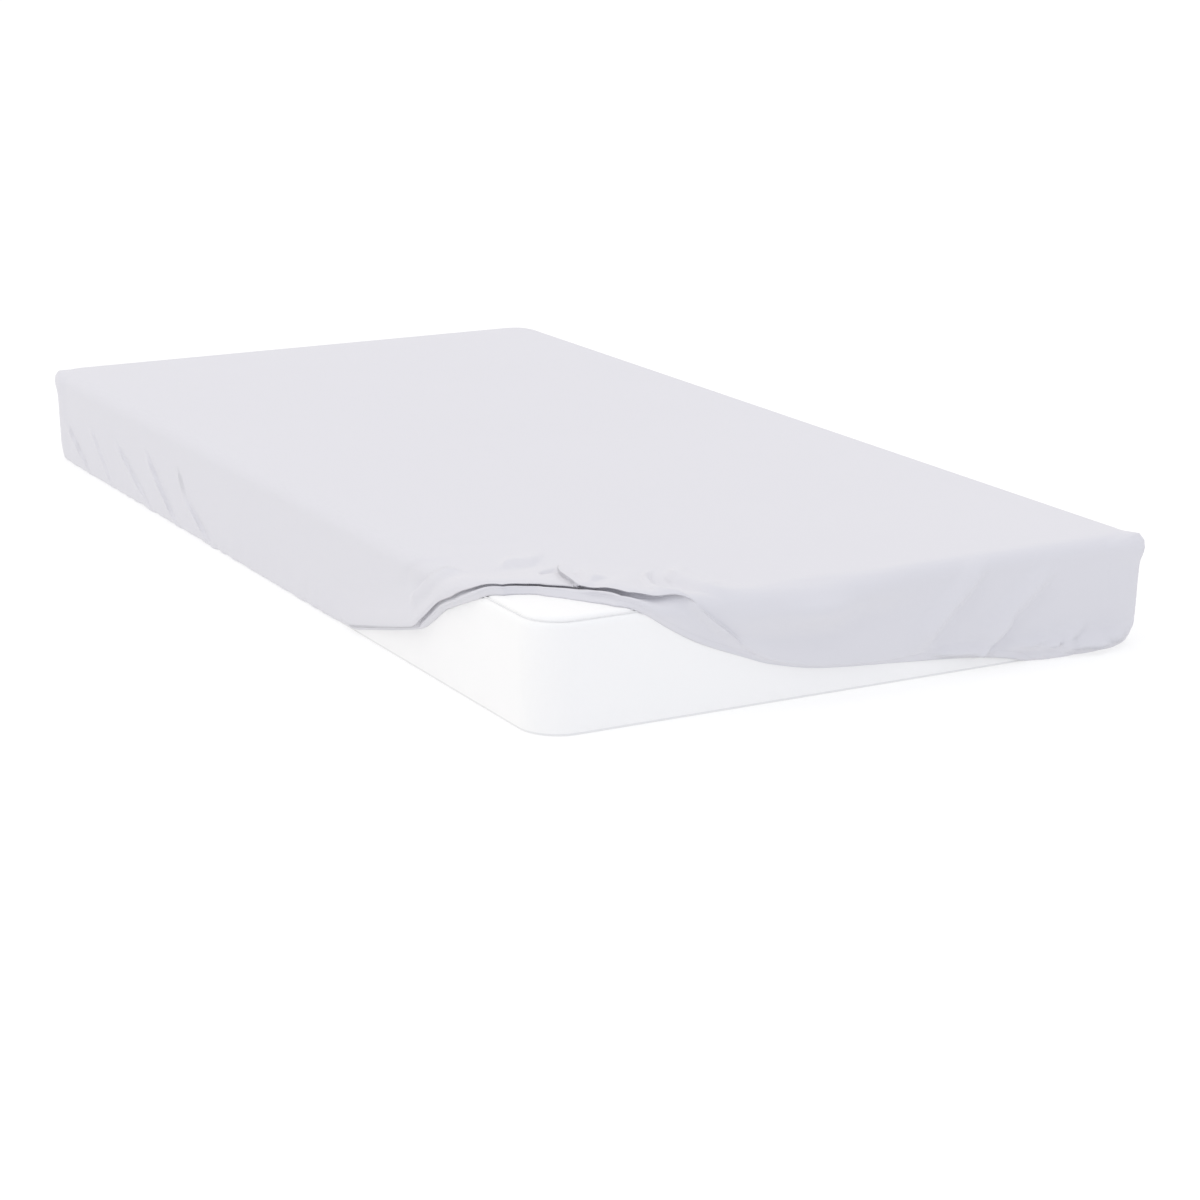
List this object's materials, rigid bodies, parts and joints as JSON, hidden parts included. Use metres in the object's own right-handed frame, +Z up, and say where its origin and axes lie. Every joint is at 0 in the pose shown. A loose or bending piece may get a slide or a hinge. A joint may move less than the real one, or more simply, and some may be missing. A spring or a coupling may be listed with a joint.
{
  "type": "fitted sheet on mattress",
  "caption": "Plain pale grey fitted sheet pulled over a white single mattress and slipped off one corner, where its hem rolls back over the top and lays the mattress's corner bare.",
  "frame": {"origin": "on the floor, under the middle of the mattress", "axes": "+Z up, +X across the mattress, +Y along it, away from the end with the bare corner, which is at -X"},
  "size_m": [1.0234, 2.0211, 0.1894],
  "materials": {
    "sheet_cotton": "matt pale lilac-grey cotton, plain",
    "mattress_cover": "matt smooth white knit"
  },
  "bodies": {
    "root": {"fitted_sheet": "sheet_cotton", "mattress": "mattress_cover"}
  },
  "joints": []
}
